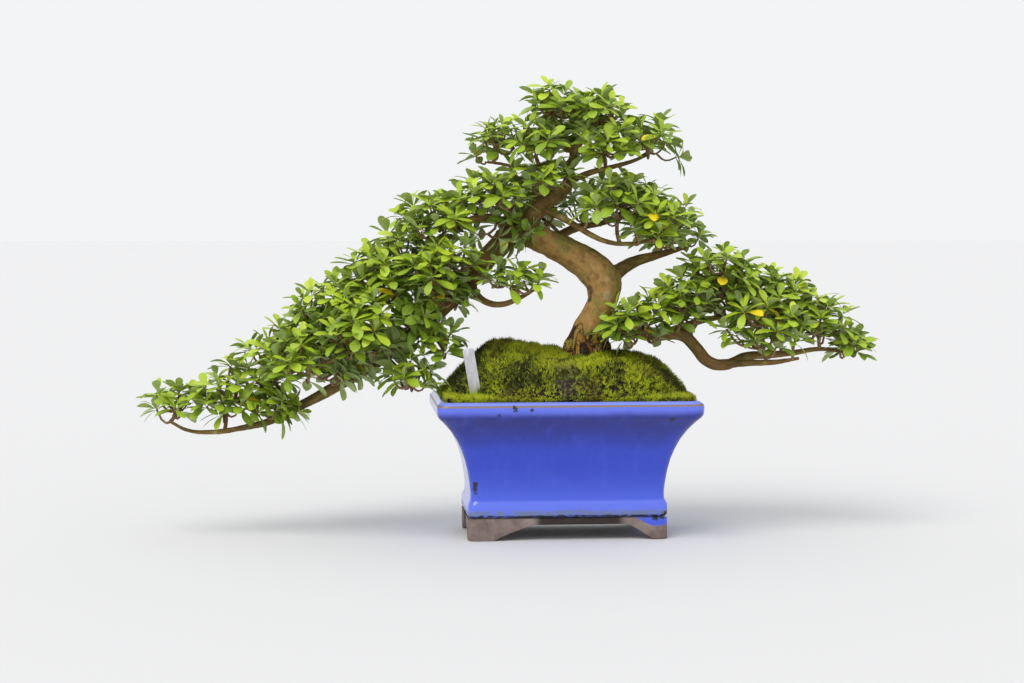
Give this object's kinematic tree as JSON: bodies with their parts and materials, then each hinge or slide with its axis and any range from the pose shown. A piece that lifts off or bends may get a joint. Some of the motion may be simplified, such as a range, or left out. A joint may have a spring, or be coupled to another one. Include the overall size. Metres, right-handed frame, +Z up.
{
  "type": "satsuki azalea bonsai",
  "caption": "Satsuki azalea bonsai with a bent trunk, a long low branch to one side and leafy pads, in moss in a blue glazed flared pot on feet",
  "frame": {"origin": "on the standing surface, under the middle of the whole bonsai's bounding box", "axes": "+Z up, -Y towards the front of the pot, +X along the pot's length to the right, with the long low branch at -X"},
  "size_m": [0.7554, 0.1848, 0.4607],
  "materials": {
    "glaze": "blue glazed ceramic, glossy, bare brown clay on the feet",
    "soil": "dark granular soil",
    "moss": "yellow-green moss with dark patches",
    "bark": "smooth tan bark, flaking red-brown at the base",
    "leaf": "green leaf, slightly shiny, on fine brown twigs",
    "label": "weathered white plastic, blank",
    "screen": "black plastic mesh"
  },
  "bodies": {
    "root": {"drain_screen_left": "screen", "drain_screen_right": "screen", "label": "label", "moss": "moss", "pot": "glaze", "soil": "soil", "spray_crown_back": "leaf", "spray_crown_fork": "leaf", "spray_crown_front": "leaf", "spray_crown_left": "leaf", "spray_crown_near_left": "leaf", "spray_crown_right": "leaf", "spray_crown_top": "leaf", "spray_middle_back": "leaf", "spray_middle_back_left": "leaf", "spray_middle_centre": "leaf", "spray_middle_far_left": "leaf", "spray_middle_front": "leaf", "spray_middle_high": "leaf", "spray_middle_left": "leaf", "spray_middle_right": "leaf", "spray_right_back": "leaf", "spray_right_front": "leaf", "spray_right_inner": "leaf", "spray_right_middle": "leaf", "spray_right_near": "leaf", "spray_right_outer": "leaf", "spray_right_tip": "leaf", "spray_right_upper": "leaf", "spray_tail_back": "leaf", "spray_tail_crest": "leaf", "spray_tail_front": "leaf", "spray_tail_hanging": "leaf", "spray_tail_high": "leaf", "spray_tail_low": "leaf", "spray_tail_middle": "leaf", "spray_tail_outer": "leaf", "spray_tail_shoulder": "leaf", "spray_tail_tip": "leaf", "spray_tail_under": "leaf", "spray_tail_upper": "leaf", "spray_under_left": "leaf", "tree": "bark"}
  },
  "joints": []
}
